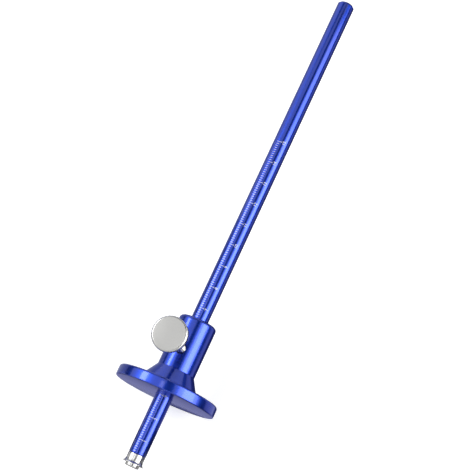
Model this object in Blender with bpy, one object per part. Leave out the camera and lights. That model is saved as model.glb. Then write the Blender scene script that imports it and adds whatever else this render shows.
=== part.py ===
"""Wheel marking gauge: a round graduated beam, a turned fence that slides on it, a thumb screw and a wheel cutter.

Metres, +Z up. The beam lies along X with the cutter at its -X end, and the thumb screw points up.
The origin is under the middle of the gauge, level with the lowest point of the fence's rim.
"""

import math

import bmesh
import bpy
from mathutils import Vector

# Beam: a round bar, tapped at the cutter's end
BEAM_DIAMETER = 0.0075
BEAM_LENGTH = 0.2175
BEAM_FAR_CHAMFER = 0.0009
BEAM_NEAR_CHAMFER = 0.0003
TAPPED_HOLE_DEPTH = 0.0078

# Fence: disc, cone and hub, turned from one bar
DISC_DIAMETER = 0.0442
DISC_THICKNESS = 0.0048
DISC_EDGE_RADIUS = 0.0005
DISC_BACK_EDGE_RADIUS = 0.0010
CONE_BASE_DIAMETER = 0.0250
CONE_LENGTH = 0.00685
HUB_DIAMETER = 0.0165
HUB_LENGTH = 0.0230
HUB_SHOULDER = 0.0016
BORE_MOUTH_CHAMFER = 0.0003
SLIDING_CLEARANCE = 0.0001

# Where the fence and its screw stand
FENCE_SETTING = 0.03025
THUMB_SCREW_FROM_FACE = 0.0202

# Thumb screw: a knurled head on a threaded stud
HEAD_DIAMETER = 0.0150
HEAD_THICKNESS = 0.0032
HEAD_BEVEL = 0.0007
HEAD_REACH = 0.0325
NECK_DIAMETER = 0.0064
NECK_LENGTH = 0.0007
KNURL_TEETH = 56
KNURL_DEPTH = 0.00022
STUD_DIAMETER = 0.0039
STUD_CHAMFER = 0.0004
STUD_CLEARANCE = 0.0001

# Pressure pad, which turns on a pin at the stud's point
PAD_LENGTH = 0.0020
PAD_CHAMFER = 0.0003
PAD_PIN_DIAMETER = 0.0014
PAD_PIN_LENGTH = 0.0010
PAD_PIN_CLEARANCE = 0.0001

# Friction ring in its groove
RING_SECTION = 0.0012
RING_BEAM_GAP = 0.00008
RING_GROOVE_CLEARANCE = 0.0001
RING_GROOVE_SIDE = 0.00015
RING_FROM_HUB_END = 0.0062

# Wheel cutter
RIM_DIAMETER = 0.0094
BOSS_DIAMETER = 0.0074
CUTTER_HEIGHT = 0.0040
FLARE_HEIGHT = 0.0020
RIM_LAND = 0.00008
HOLLOW_DEPTH = 0.00018
BOSS_CHAMFER = 0.00012
CUTTER_HOLE_CLEARANCE = 0.00015
SCREW_SEAT_DEPTH = 0.00035
SCREW_SEAT_CLEARANCE = 0.0003

# Cutter screw
SCREW_DIAMETER = 0.0029
SCREW_LENGTH = 0.0100
SCREW_HEAD_DIAMETER = 0.0060
SCREW_HEAD_HEIGHT = 0.0017
SCREW_HEAD_ROUND = 0.00035
SCREW_POINT_CHAMFER = 0.0003
SCREW_CLEARANCE = 0.0001
SOCKET_ACROSS_FLATS = 0.0020
SOCKET_DEPTH = 0.0009

# Shared by all pieces
SEAT_GAP = 0.00005
CUT_OVERRUN = 0.0010
MERGE_SHARE = 1e-4

# How finely round forms are faceted
FENCE_STEPS = 96
BEAM_STEPS = 64
SMALL_STEPS = 32
ARC_STEPS = 3
FLARE_STEPS = 6
SECTION_STEPS = 12
HEX_SIDES = 6
DRILL_POINT_ANGLE = math.radians(59)
SHARP_ANGLE = math.radians(30)

# Sizes that follow from the ones above
BEAM_RADIUS = BEAM_DIAMETER / 2
DISC_RADIUS = DISC_DIAMETER / 2
HUB_RADIUS = HUB_DIAMETER / 2
HEAD_RADIUS = HEAD_DIAMETER / 2
STUD_RADIUS = STUD_DIAMETER / 2
PAD_RADIUS = STUD_RADIUS
BORE_RADIUS = BEAM_RADIUS + SLIDING_CLEARANCE
BORE_MOUTH_RADIUS = BORE_RADIUS + BORE_MOUTH_CHAMFER
CONE_END = DISC_THICKNESS + CONE_LENGTH
FENCE_LENGTH = CONE_END + HUB_LENGTH
AXIS_HEIGHT = DISC_RADIUS
BEAM_START = CUTTER_HEIGHT + SEAT_GAP
BEAM_END = BEAM_START + BEAM_LENGTH
SCREW_SEAT = SCREW_SEAT_DEPTH - SEAT_GAP
SCREW_FACE = SCREW_SEAT - SCREW_HEAD_HEIGHT
MIDDLE = (SCREW_FACE + BEAM_END) / 2
RING_CENTRE_RADIUS = BEAM_RADIUS + RING_BEAM_GAP + RING_SECTION / 2
RING_FROM_FACE = FENCE_LENGTH - RING_FROM_HUB_END
PAD_BOTTOM = BEAM_RADIUS + SLIDING_CLEARANCE
PAD_TOP = PAD_BOTTOM + PAD_LENGTH
STUD_TIP = PAD_TOP + SEAT_GAP


def clear_scene():
    for obj in list(bpy.data.objects):
        bpy.data.objects.remove(obj, do_unlink=True)


def make_material(name, colour, roughness, metallic):
    material = bpy.data.materials.new(name)
    material.use_nodes = True
    shader = material.node_tree.nodes["Principled BSDF"]
    shader.inputs["Base Color"].default_value = (*colour, 1)
    shader.inputs["Roughness"].default_value = roughness
    shader.inputs["Metallic"].default_value = metallic
    material.diffuse_color = (*colour, 1)
    return material


def arc(centre, radius, start, end, steps=ARC_STEPS):
    """Points of a round stretch of a profile, as (along, radius) pairs."""
    points = []
    for step in range(steps + 1):
        angle = math.radians(start + (end - start) * step / steps)
        points.append((centre[0] + radius * math.cos(angle), centre[1] + radius * math.sin(angle)))
    return points


def turned_mesh(name, profile, steps, axis, closed):
    """Turns a profile of (along, radius) points once round the X or the Z axis."""
    bm = bmesh.new()
    if axis == "X":
        verts = [bm.verts.new((along, 0, radius)) for along, radius in profile]
        direction = Vector((1, 0, 0))
    else:
        verts = [bm.verts.new((radius, 0, along)) for along, radius in profile]
        direction = Vector((0, 0, 1))
    edges = [bm.edges.new(pair) for pair in zip(verts, verts[1:])]
    if closed:
        edges.append(bm.edges.new((verts[-1], verts[0])))
    bmesh.ops.spin(
        bm,
        geom=verts + edges,
        cent=(0, 0, 0),
        axis=direction,
        angle=math.tau,
        steps=steps,
        use_merge=True,
    )
    widest = max(radius for _, radius in profile)
    bmesh.ops.remove_doubles(bm, verts=bm.verts, dist=widest * MERGE_SHARE)
    bmesh.ops.recalc_face_normals(bm, faces=bm.faces)
    mesh = bpy.data.meshes.new(name)
    bm.to_mesh(mesh)
    bm.free()
    return mesh


def finish_mesh(mesh, material):
    mesh.materials.append(material)
    mesh.shade_smooth()
    mesh.set_sharp_from_angle(angle=SHARP_ANGLE)


def add_object(name, mesh, parent, location):
    obj = bpy.data.objects.new(name, mesh)
    bpy.context.collection.objects.link(obj)
    obj.parent = parent
    obj.location = location
    return obj


def add_axis(name, parent, location):
    axis = add_object(name, None, parent, location)
    axis.empty_display_size = BEAM_DIAMETER
    return axis


def add_cutter(name, mesh, parent, location):
    cutter = add_object(name, mesh, parent, location)
    cutter.hide_render = True
    cutter.display_type = "WIRE"
    return cutter


def cut(obj, cutter):
    modifier = obj.modifiers.new("Cut " + cutter.name, "BOOLEAN")
    modifier.operation = "DIFFERENCE"
    modifier.solver = "EXACT"
    modifier.object = cutter


def bar_mesh(name, radius, start, end, sides, axis):
    """A plain bar from start to end along an axis, used as a cutter."""
    profile = [(start, 0), (start, radius), (end, radius), (end, 0)]
    return turned_mesh(name, profile, sides, axis, closed=False)


def make_beam(parent, material):
    hole = SCREW_DIAMETER / 2 + SCREW_CLEARANCE
    drill_point = hole / math.tan(DRILL_POINT_ANGLE)
    near = BEAM_NEAR_CHAMFER
    far = BEAM_FAR_CHAMFER
    profile = [
        (TAPPED_HOLE_DEPTH + drill_point, 0),
        (TAPPED_HOLE_DEPTH, hole),
        (0, hole),
        (0, BEAM_RADIUS - near),
        (near, BEAM_RADIUS),
        (BEAM_LENGTH - far, BEAM_RADIUS),
        (BEAM_LENGTH, BEAM_RADIUS - far),
        (BEAM_LENGTH, 0),
    ]
    mesh = turned_mesh("beam", profile, BEAM_STEPS, "X", closed=False)
    finish_mesh(mesh, material)
    return add_object("beam", mesh, parent, (BEAM_START, 0, 0))


def fence_profile():
    """The fence's section, measured from its working face towards the end of the hub."""
    edge = DISC_EDGE_RADIUS
    back_edge = DISC_BACK_EDGE_RADIUS
    shoulder = HUB_SHOULDER
    groove_half = RING_SECTION / 2 + RING_GROOVE_SIDE
    groove_radius = RING_CENTRE_RADIUS + RING_SECTION / 2 + RING_GROOVE_CLEARANCE
    outside = [
        (0, BORE_MOUTH_RADIUS),
        *arc((edge, DISC_RADIUS - edge), edge, 180, 90),
        *arc((DISC_THICKNESS - back_edge, DISC_RADIUS - back_edge), back_edge, 90, 0),
        (DISC_THICKNESS, CONE_BASE_DIAMETER / 2),
        (CONE_END, HUB_RADIUS),
        *arc((FENCE_LENGTH - shoulder, HUB_RADIUS - shoulder), shoulder, 90, 0),
    ]
    inside = [
        (FENCE_LENGTH, BORE_MOUTH_RADIUS),
        (FENCE_LENGTH - BORE_MOUTH_CHAMFER, BORE_RADIUS),
        (RING_FROM_FACE + groove_half, BORE_RADIUS),
        (RING_FROM_FACE + groove_half, groove_radius),
        (RING_FROM_FACE - groove_half, groove_radius),
        (RING_FROM_FACE - groove_half, BORE_RADIUS),
        (BORE_MOUTH_CHAMFER, BORE_RADIUS),
    ]
    return outside + inside


def make_fence(parent, material):
    mesh = turned_mesh("fence", fence_profile(), FENCE_STEPS, "X", closed=True)
    finish_mesh(mesh, material)
    fence = add_object("fence", mesh, parent, (0, 0, 0))
    radius = STUD_RADIUS + STUD_CLEARANCE
    drill_mesh = bar_mesh("cross_drill", radius, 0, HUB_RADIUS + CUT_OVERRUN, SMALL_STEPS, "Z")
    drill = add_cutter("cross_drill", drill_mesh, parent, (THUMB_SCREW_FROM_FACE, 0, 0))
    cut(fence, drill)
    return fence


def make_friction_ring(parent, material):
    profile = arc((0, RING_CENTRE_RADIUS), RING_SECTION / 2, 0, 360, SECTION_STEPS)[:-1]
    mesh = turned_mesh("friction_ring", profile, BEAM_STEPS, "X", closed=True)
    finish_mesh(mesh, material)
    return add_object("friction_ring", mesh, parent, (RING_FROM_FACE, 0, 0))


def knurl(mesh, inner, outer):
    """Pulls every second line of the wall between two radii towards the axis, for a straight knurl."""
    for vertex in mesh.vertices:
        radius = math.hypot(vertex.co.x, vertex.co.y)
        if not inner < radius < outer:
            continue
        step = round(math.atan2(vertex.co.y, vertex.co.x) / math.tau * KNURL_TEETH * 2)
        if step % 2:
            vertex.co.x *= 1 - KNURL_DEPTH / radius
            vertex.co.y *= 1 - KNURL_DEPTH / radius


def make_thumb_screw(parent, material):
    """Its profile is measured outwards from the beam's axis, with the pin for the pad at its point."""
    back = HEAD_REACH - HEAD_THICKNESS
    pin = PAD_PIN_DIAMETER / 2
    bevel = HEAD_BEVEL
    profile = [
        (STUD_TIP - PAD_PIN_LENGTH, 0),
        (STUD_TIP - PAD_PIN_LENGTH, pin),
        (STUD_TIP, pin),
        (STUD_TIP, STUD_RADIUS - STUD_CHAMFER),
        (STUD_TIP + STUD_CHAMFER, STUD_RADIUS),
        (back - NECK_LENGTH, STUD_RADIUS),
        (back - NECK_LENGTH, NECK_DIAMETER / 2),
        (back, NECK_DIAMETER / 2),
        (back, HEAD_RADIUS - bevel),
        (back + bevel, HEAD_RADIUS),
        (HEAD_REACH - bevel, HEAD_RADIUS),
        *arc((HEAD_REACH - bevel, HEAD_RADIUS - bevel), bevel, 90, 0)[1:],
        (HEAD_REACH, 0),
    ]
    mesh = turned_mesh("thumb_screw", profile, KNURL_TEETH * 2, "Z", closed=False)
    knurl(mesh, HEAD_RADIUS - KNURL_DEPTH / 2, HEAD_RADIUS + KNURL_DEPTH)
    finish_mesh(mesh, material)
    return add_object("thumb_screw", mesh, parent, (0, 0, 0))


def make_pressure_pad(parent, material):
    socket_radius = PAD_PIN_DIAMETER / 2 + PAD_PIN_CLEARANCE
    socket_floor = STUD_TIP - PAD_PIN_LENGTH - SEAT_GAP
    profile = [
        (PAD_BOTTOM, 0),
        (PAD_BOTTOM, PAD_RADIUS - PAD_CHAMFER),
        (PAD_BOTTOM + PAD_CHAMFER, PAD_RADIUS),
        (PAD_TOP, PAD_RADIUS),
        (PAD_TOP, socket_radius),
        (socket_floor, socket_radius),
        (socket_floor, 0),
    ]
    mesh = turned_mesh("pressure_pad", profile, SMALL_STEPS, "Z", closed=False)
    finish_mesh(mesh, material)
    return add_object("pressure_pad", mesh, parent, (0, 0, 0))


def flare_points():
    """The hollow flank from the boss out to the cutting rim, a quarter of an ellipse."""
    rise = FLARE_HEIGHT - RIM_LAND
    spread = (RIM_DIAMETER - BOSS_DIAMETER) / 2
    points = []
    for step in range(FLARE_STEPS + 1):
        angle = math.pi / 2 * step / FLARE_STEPS
        along = RIM_LAND + rise * (1 - math.sin(angle))
        radius = RIM_DIAMETER / 2 - spread * math.sin(math.pi / 2 - angle)
        points.append((along, radius))
    return points


def make_wheel_cutter(parent, material):
    """Its profile is measured from the plane of the cutting rim towards the beam."""
    hole = SCREW_DIAMETER / 2 + CUTTER_HOLE_CLEARANCE
    seat = SCREW_HEAD_DIAMETER / 2 + SCREW_SEAT_CLEARANCE
    boss = BOSS_DIAMETER / 2
    profile = [
        (SCREW_SEAT_DEPTH, hole),
        (SCREW_SEAT_DEPTH, seat),
        (HOLLOW_DEPTH, seat),
        (0, RIM_DIAMETER / 2),
        *reversed(flare_points()),
        (CUTTER_HEIGHT - BOSS_CHAMFER, boss),
        (CUTTER_HEIGHT, boss - BOSS_CHAMFER),
        (CUTTER_HEIGHT, hole),
    ]
    mesh = turned_mesh("wheel_cutter", profile, BEAM_STEPS, "X", closed=True)
    finish_mesh(mesh, material)
    return add_object("wheel_cutter", mesh, parent, (0, 0, 0))


def make_cutter_screw(parent, material):
    shank = SCREW_DIAMETER / 2
    head = SCREW_HEAD_DIAMETER / 2
    curve = SCREW_HEAD_ROUND
    end = SCREW_SEAT + SCREW_LENGTH
    profile = [
        (SCREW_FACE, 0),
        *arc((SCREW_FACE + curve, head - curve), curve, 180, 90),
        (SCREW_SEAT, head),
        (SCREW_SEAT, shank),
        (end - SCREW_POINT_CHAMFER, shank),
        (end, shank - SCREW_POINT_CHAMFER),
        (end, 0),
    ]
    mesh = turned_mesh("cutter_screw", profile, SMALL_STEPS, "X", closed=False)
    finish_mesh(mesh, material)
    screw = add_object("cutter_screw", mesh, parent, (0, 0, 0))
    corner = SOCKET_ACROSS_FLATS / 2 / math.cos(math.pi / HEX_SIDES)
    socket_mesh = bar_mesh("socket", corner, -CUT_OVERRUN, SOCKET_DEPTH, HEX_SIDES, "X")
    socket = add_cutter("socket", socket_mesh, parent, (SCREW_FACE, 0, 0))
    cut(screw, socket)
    return screw


def build():
    clear_scene()
    blue = make_material("blue anodised aluminium", (0.02, 0.05, 0.50), 0.28, 1.0)
    steel = make_material("bright steel", (0.62, 0.62, 0.62), 0.25, 1.0)
    satin = make_material("satin steel", (0.55, 0.55, 0.55), 0.40, 1.0)
    brass = make_material("brass", (0.70, 0.50, 0.18), 0.35, 1.0)
    rubber = make_material("black rubber", (0.02, 0.02, 0.02), 0.70, 0.0)

    beam_axis = add_axis("beam_axis", None, (-MIDDLE, 0, AXIS_HEIGHT))
    make_beam(beam_axis, blue)
    make_wheel_cutter(beam_axis, steel)
    make_cutter_screw(beam_axis, steel)

    fence_axis = add_axis("fence_axis", beam_axis, (FENCE_SETTING, 0, 0))
    make_friction_ring(fence_axis, rubber)
    make_fence(fence_axis, blue)

    thumb_axis = add_axis("thumb_axis", fence_axis, (THUMB_SCREW_FROM_FACE, 0, 0))
    make_pressure_pad(thumb_axis, brass)
    make_thumb_screw(thumb_axis, satin)


build()
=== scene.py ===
"""Dresses the wheel marking gauge: turned and ground pieces, scale, finishes and a plain studio."""

import math

import bmesh
import bpy
from bpy.props import FloatProperty, FloatVectorProperty, IntProperty, PointerProperty
from mathutils import Matrix, Quaternion, Vector


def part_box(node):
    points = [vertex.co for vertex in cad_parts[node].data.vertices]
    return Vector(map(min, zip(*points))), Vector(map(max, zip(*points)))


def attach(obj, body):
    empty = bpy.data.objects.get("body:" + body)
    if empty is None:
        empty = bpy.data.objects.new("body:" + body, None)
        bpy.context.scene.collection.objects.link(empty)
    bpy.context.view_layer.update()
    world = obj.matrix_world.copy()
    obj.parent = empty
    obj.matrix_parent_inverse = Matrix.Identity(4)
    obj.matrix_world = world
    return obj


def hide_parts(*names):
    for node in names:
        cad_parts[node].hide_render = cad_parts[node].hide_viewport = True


bl_info = {
    "name": "Marking gauge",
    "version": (1, 0, 0),
    "blender": (4, 5, 0),
    "location": "View3D > Sidebar > Gauge",
    "description": "Models and finishes a wheel marking gauge round its construction model",
    "category": "Object",
}

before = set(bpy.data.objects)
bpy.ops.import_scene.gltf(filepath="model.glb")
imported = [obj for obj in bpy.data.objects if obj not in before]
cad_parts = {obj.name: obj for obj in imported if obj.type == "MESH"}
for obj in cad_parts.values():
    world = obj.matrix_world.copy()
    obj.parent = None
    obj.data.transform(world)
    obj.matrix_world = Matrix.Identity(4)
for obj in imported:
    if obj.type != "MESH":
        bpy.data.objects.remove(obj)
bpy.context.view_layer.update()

BEAM_LOW, BEAM_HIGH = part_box("beam")
CUTTER_LOW, CUTTER_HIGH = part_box("wheel_cutter")
SCREW_LOW, SCREW_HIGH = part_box("cutter_screw")
FENCE_LOW, FENCE_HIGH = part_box("fence")
RING_LOW, RING_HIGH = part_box("friction_ring")
PAD_LOW, PAD_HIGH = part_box("pressure_pad")
HEAD_LOW, HEAD_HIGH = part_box("thumb_screw")

AXIS_HEIGHT = (BEAM_LOW.z + BEAM_HIGH.z) / 2
BEAM_RADIUS = (BEAM_HIGH.z - BEAM_LOW.z) / 2
RIM_PLACE = CUTTER_LOW.x
FENCE_FACE = FENCE_LOW.x
FENCE_LENGTH = FENCE_HIGH.x - FENCE_LOW.x
THUMB_PLACE = (HEAD_LOW.x + HEAD_HIGH.x) / 2
STUD_END = HEAD_LOW.z - AXIS_HEIGHT
HEAD_REACH = HEAD_HIGH.z - AXIS_HEIGHT

SHARP_ANGLE = math.radians(32)
TURNING_STEPS = 192
SMALL_STEPS = 96
STUD_STEPS = 64
STEPS_PER_TOOTH = 8
RING_STEPS = 24
FLARE_STEPS = 20
CORNER_STEPS = 4
ROWS_PER_PITCH = 8
SOCKET_SIDES = 6
WALL_SHARE = 0.01
CUT_OVERRUN = 0.001
MERGE_DISTANCE = 1e-7
MILLIMETRE = 0.001
MARKS_PER_NUMBER = 10
FILM_WIDTH = 36
NEAREST_SEEN = 0.01
FARTHEST_SEEN = 20

# Shares of a noise between which its patches show.
NOISE_LOW = 0.3
NOISE_HIGH = 0.7

# How far lathe rings and handling change the roughness, as a share and as a value.
RING_CONTRAST = 0.1
HANDLING_CONTRAST = 0.02

# Turning axis, roughness, lathe rings in a metre, their depth and contrast, clear layer and its roughness.
METALS = {
    "anodised bar": ("beam", 0.29, 7000.0, 0.0000006, 0.06, 1.0, 0.09),
    "anodised fence": ("beam", 0.30, 9000.0, 0.0000015, 0.10, 1.0, 0.12),
    "satin steel finish": ("thumb", 0.22, 8000.0, 0.0000003, 0.03, 0.0, 0.1),
    "brass finish": ("thumb", 0.35, 8000.0, 0.0000020, 0.08, 0.0, 0.1),
    "ground steel": ("beam", 0.24, 12000.0, 0.0000010, 0.05, 0.0, 0.1),
    "screw steel": ("beam", 0.20, 9000.0, 0.0000010, 0.05, 0.0, 0.1),
}

# Name, angle and spread round the beam in degrees, start and end along the beam, brightness.
LAMPS = (
    ("strip lamp", -59, 15, -0.15, 0.20, 6),
    ("near strip lamp", -59, 15, -0.15, 0.08, 9),
    ("thin lamp", -15, 7, -0.15, 0.06, 2),
    ("broad lamp", 47, 27, -0.15, 0.26, 2.8),
    ("long lamp", 46, 48, -0.15, 0.42, 2.5),
)

# The same for the glowing cards between the lamps, with a colour in place of the brightness: only
# reflections see them, so these dark colours are painted shade in the metal's reflections.
ROUND_CARDS = (
    ("middle card", 1, 20, -0.30, 0.45, (0.02, 0.02, 0.02)),
    ("flank card", 0, 110, 0.50, 1.20, (0.12, 0.12, 0.12)),
    ("far card", -36, 18, 0.90, 2.10, (0.09, 0.09, 0.09)),
)

# Name, start and end along the beam, right and left edge, colour of the cards on the floor. They glow in
# reflections only: the under card and the near card are painted shade, the under card the shade beneath the
# gauge, and the grey and blue-violet cards are painted reflections that tint the metal's edges.
LOW_CARDS = (
    ("low right card", -0.080, 0.30, -0.09, -0.03, (0.50, 0.52, 0.75)),
    ("under card", -0.080, 0.30, -0.03, 0.01, (0.03, 0.035, 0.12)),
    ("low left card", -0.080, 0.30, 0.01, 0.30, (0.33, 0.36, 0.50)),
    ("low front card", -0.093, -0.080, -0.10, 0.10, (0.24, 0.25, 0.46)),
    ("near card", -0.104, -0.093, -0.10, 0.10, (0.05, 0.05, 0.09)),
    ("front card", -0.400, -0.104, -0.30, 0.30, (0.36, 0.36, 0.36)),
)

# Name, start and end along the beam, place beside it, foot, top and colour of the upright cards, which glow
# dark in reflections only: painted shade.
UPRIGHT_CARDS = (
    ("right card", -0.30, 0.40, -0.09, 0.0, 0.032, (0.03, 0.03, 0.04)),
    ("left card", -0.12, 0.03, 0.12, 0.024, 0.060, (0.03, 0.03, 0.04)),
)


class GaugeBeamSizes(bpy.types.PropertyGroup):
    far_chamfer: FloatProperty(
        name="Far chamfer", description="Chamfer at the bare end", default=0.0009, unit="LENGTH"
    )
    near_chamfer: FloatProperty(
        name="Near chamfer", description="Chamfer at the cutter's end", default=0.0003, unit="LENGTH"
    )
    hole_radius: FloatProperty(
        name="Hole radius", description="Tapped hole for the cutter's screw", default=0.00155, unit="LENGTH"
    )
    hole_depth: FloatProperty(
        name="Hole depth", description="Depth to the drill's point", default=0.0078, unit="LENGTH"
    )
    drill_point: FloatProperty(
        name="Drill point", description="Length of the drill's cone", default=0.0009, unit="LENGTH"
    )
    near_edge: FloatProperty(
        name="Near edge", description="Rounding at the near chamfer", default=0.00006, unit="LENGTH"
    )
    far_edge: FloatProperty(
        name="Far edge", description="Rounding at the far chamfer", default=0.0001, unit="LENGTH"
    )


class GaugeScaleSizes(bpy.types.PropertyGroup):
    length_mm: IntProperty(name="Millimetres", description="Length of the scale", default=150)
    zero_offset: FloatProperty(
        name="Zero offset", description="From the cutting rim to the scale", default=0.0, unit="LENGTH"
    )
    first_mm: IntProperty(name="First mark", description="First mark that lies on the beam", default=5)
    facing_angle: FloatProperty(
        name="Facing angle", description="Where the scale's middle line lies round the beam", default=105.7
    )
    mark_top: FloatProperty(
        name="Mark top", description="Outer ends, above the middle line", default=0.00250, unit="LENGTH"
    )
    mark_length: FloatProperty(
        name="Mark length", description="Millimetre marks", default=0.00130, unit="LENGTH"
    )
    long_mark_length: FloatProperty(
        name="Long marks", description="Centimetre marks", default=0.0023, unit="LENGTH"
    )
    mark_width: FloatProperty(
        name="Mark width", description="Width of a mark", default=0.00018, unit="LENGTH"
    )
    number_height: FloatProperty(
        name="Number height", description="Height of the digits", default=0.00130, unit="LENGTH"
    )
    number_top: FloatProperty(
        name="Number top", description="Tops, below the middle line", default=0.00010, unit="LENGTH"
    )
    rise: FloatProperty(
        name="Rise", description="How far the marks stand proud", default=0.000012, unit="LENGTH"
    )
    mark_row: FloatProperty(
        name="Mark rows", description="Steps in which marks bend", default=0.0003, unit="LENGTH"
    )
    number_row: FloatProperty(
        name="Number rows", description="Steps in which digits bend", default=0.00015, unit="LENGTH"
    )


class GaugeFenceSizes(bpy.types.PropertyGroup):
    disc_thickness: FloatProperty(
        name="Disc", description="Thickness of the disc", default=0.0048, unit="LENGTH"
    )
    disc_edge: FloatProperty(
        name="Face edge", description="Rounding at the working face", default=0.0005, unit="LENGTH"
    )
    disc_back_edge: FloatProperty(
        name="Back edge", description="Rounding at the hub's side", default=0.0010, unit="LENGTH"
    )
    cone_radius: FloatProperty(
        name="Cone radius", description="Cone where it meets the disc", default=0.0125, unit="LENGTH"
    )
    cone_length: FloatProperty(
        name="Cone length", description="Length of the cone", default=0.00685, unit="LENGTH"
    )
    cone_edge: FloatProperty(
        name="Cone edge", description="Rounding where the cone meets the hub", default=0.0001, unit="LENGTH"
    )
    hub_radius: FloatProperty(
        name="Hub radius", description="Radius of the hub", default=0.00825, unit="LENGTH"
    )
    shoulder: FloatProperty(
        name="Shoulder", description="Rounding at the hub's end", default=0.0016, unit="LENGTH"
    )
    bore_radius: FloatProperty(
        name="Bore radius", description="Bore for the beam", default=0.00385, unit="LENGTH"
    )
    bore_chamfer: FloatProperty(
        name="Bore chamfer", description="Chamfer at the bore's mouth", default=0.0003, unit="LENGTH"
    )
    groove_half: FloatProperty(
        name="Groove", description="Half width of the ring's groove", default=0.00075, unit="LENGTH"
    )
    groove_radius: FloatProperty(
        name="Groove radius", description="Floor of the ring's groove", default=0.00513, unit="LENGTH"
    )
    hole_radius: FloatProperty(
        name="Cross hole", description="Hole for the stud", default=0.00205, unit="LENGTH"
    )
    hole_chamfer: FloatProperty(
        name="Hole chamfer", description="Countersink of the cross hole", default=0.0003, unit="LENGTH"
    )
    hole_margin: FloatProperty(
        name="Hole margin", description="Plain hub beside the cross hole, in hole radii", default=1.5
    )


class GaugeThumbScrewSizes(bpy.types.PropertyGroup):
    head_radius: FloatProperty(
        name="Head radius", description="Over the knurl", default=0.0075, unit="LENGTH"
    )
    head_thickness: FloatProperty(
        name="Head", description="Thickness of the head", default=0.0032, unit="LENGTH"
    )
    face_chamfer: FloatProperty(
        name="Face chamfer", description="Edge of the outer face", default=0.0006, unit="LENGTH"
    )
    face_round: FloatProperty(
        name="Face rounding", description="Inside the face chamfer", default=0.0003, unit="LENGTH"
    )
    small_round: FloatProperty(
        name="Small rounding", description="Of the head, neck and pin", default=0.0001, unit="LENGTH"
    )
    back_chamfer: FloatProperty(
        name="Back chamfer", description="Edge of the inner face", default=0.0005, unit="LENGTH"
    )
    neck_radius: FloatProperty(
        name="Neck radius", description="Collar under the head", default=0.0032, unit="LENGTH"
    )
    neck_length: FloatProperty(
        name="Neck length", description="Collar under the head", default=0.0007, unit="LENGTH"
    )
    stud_radius: FloatProperty(
        name="Stud radius", description="Over the thread", default=0.00195, unit="LENGTH"
    )
    thread_pitch: FloatProperty(
        name="Pitch", description="Of the stud's thread", default=0.0007, unit="LENGTH"
    )
    thread_depth: FloatProperty(
        name="Thread depth", description="Of the stud's thread", default=0.00038, unit="LENGTH"
    )
    point_height: FloatProperty(
        name="Point height", description="Of the chamfer at the point", default=0.0003, unit="LENGTH"
    )
    point_depth: FloatProperty(
        name="Point depth", description="Of the chamfer at the point", default=0.0004, unit="LENGTH"
    )
    relief_radius: FloatProperty(
        name="Relief", description="Plain neck behind the thread", default=0.0016, unit="LENGTH"
    )
    pin_radius: FloatProperty(
        name="Pin radius", description="Pin for the pad", default=0.0007, unit="LENGTH"
    )
    pin_length: FloatProperty(
        name="Pin length", description="Pin for the pad", default=0.0010, unit="LENGTH"
    )
    knurl_teeth: IntProperty(name="Knurl teeth", description="Round the head", default=84)
    knurl_depth: FloatProperty(
        name="Knurl depth", description="Of the straight knurl", default=0.00020, unit="LENGTH"
    )


class GaugePadSizes(bpy.types.PropertyGroup):
    face_round: FloatProperty(
        name="Face rounding", description="Next to the beam", default=0.0003, unit="LENGTH"
    )
    back_round: FloatProperty(
        name="Back rounding", description="Next to the stud", default=0.0001, unit="LENGTH"
    )
    pin_clearance: FloatProperty(
        name="Pin clearance", description="Round the stud's pin", default=0.0001, unit="LENGTH"
    )
    seat_gap: FloatProperty(
        name="Seat gap", description="Below the stud's pin", default=0.00005, unit="LENGTH"
    )


class GaugeCutterSizes(bpy.types.PropertyGroup):
    rim_radius: FloatProperty(name="Rim radius", description="Cutting rim", default=0.0047, unit="LENGTH")
    boss_radius: FloatProperty(
        name="Boss radius", description="Boss behind the rim", default=0.0037, unit="LENGTH"
    )
    height: FloatProperty(
        name="Height", description="From the rim to the beam", default=0.0040, unit="LENGTH"
    )
    flare_height: FloatProperty(
        name="Flare", description="Height of the hollow flank", default=0.0020, unit="LENGTH"
    )
    land: FloatProperty(
        name="Land", description="Narrow wall behind the cutting rim", default=0.00008, unit="LENGTH"
    )
    hollow: FloatProperty(
        name="Hollow", description="Hollow of the ground face", default=0.00018, unit="LENGTH"
    )
    seat_radius: FloatProperty(
        name="Seat radius", description="Seat of the screw's head", default=0.0033, unit="LENGTH"
    )
    seat_depth: FloatProperty(
        name="Seat depth", description="Seat of the screw's head", default=0.00035, unit="LENGTH"
    )
    hole_radius: FloatProperty(
        name="Hole radius", description="Hole for the screw", default=0.0016, unit="LENGTH"
    )
    boss_edge: FloatProperty(
        name="Boss edge", description="Chamfer next to the beam", default=0.00012, unit="LENGTH"
    )


class GaugeCutterScrewSizes(bpy.types.PropertyGroup):
    head_radius: FloatProperty(
        name="Head radius", description="Radius of the head", default=0.0030, unit="LENGTH"
    )
    head_height: FloatProperty(
        name="Head height", description="Height of the head", default=0.0017, unit="LENGTH"
    )
    head_round: FloatProperty(
        name="Head rounding", description="Edge of the head", default=0.00035, unit="LENGTH"
    )
    shank_radius: FloatProperty(
        name="Shank radius", description="Over the thread", default=0.00145, unit="LENGTH"
    )
    socket_flats: FloatProperty(
        name="Socket", description="Across the flats", default=0.0020, unit="LENGTH"
    )
    socket_depth: FloatProperty(
        name="Socket depth", description="Depth of the socket", default=0.0009, unit="LENGTH"
    )
    thread_pitch: FloatProperty(
        name="Pitch", description="Of the screw's thread", default=0.0005, unit="LENGTH"
    )
    thread_depth: FloatProperty(
        name="Thread depth", description="Of the screw's thread", default=0.00027, unit="LENGTH"
    )
    point_chamfer: FloatProperty(
        name="Point chamfer", description="At the thread's end", default=0.0003, unit="LENGTH"
    )


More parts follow.
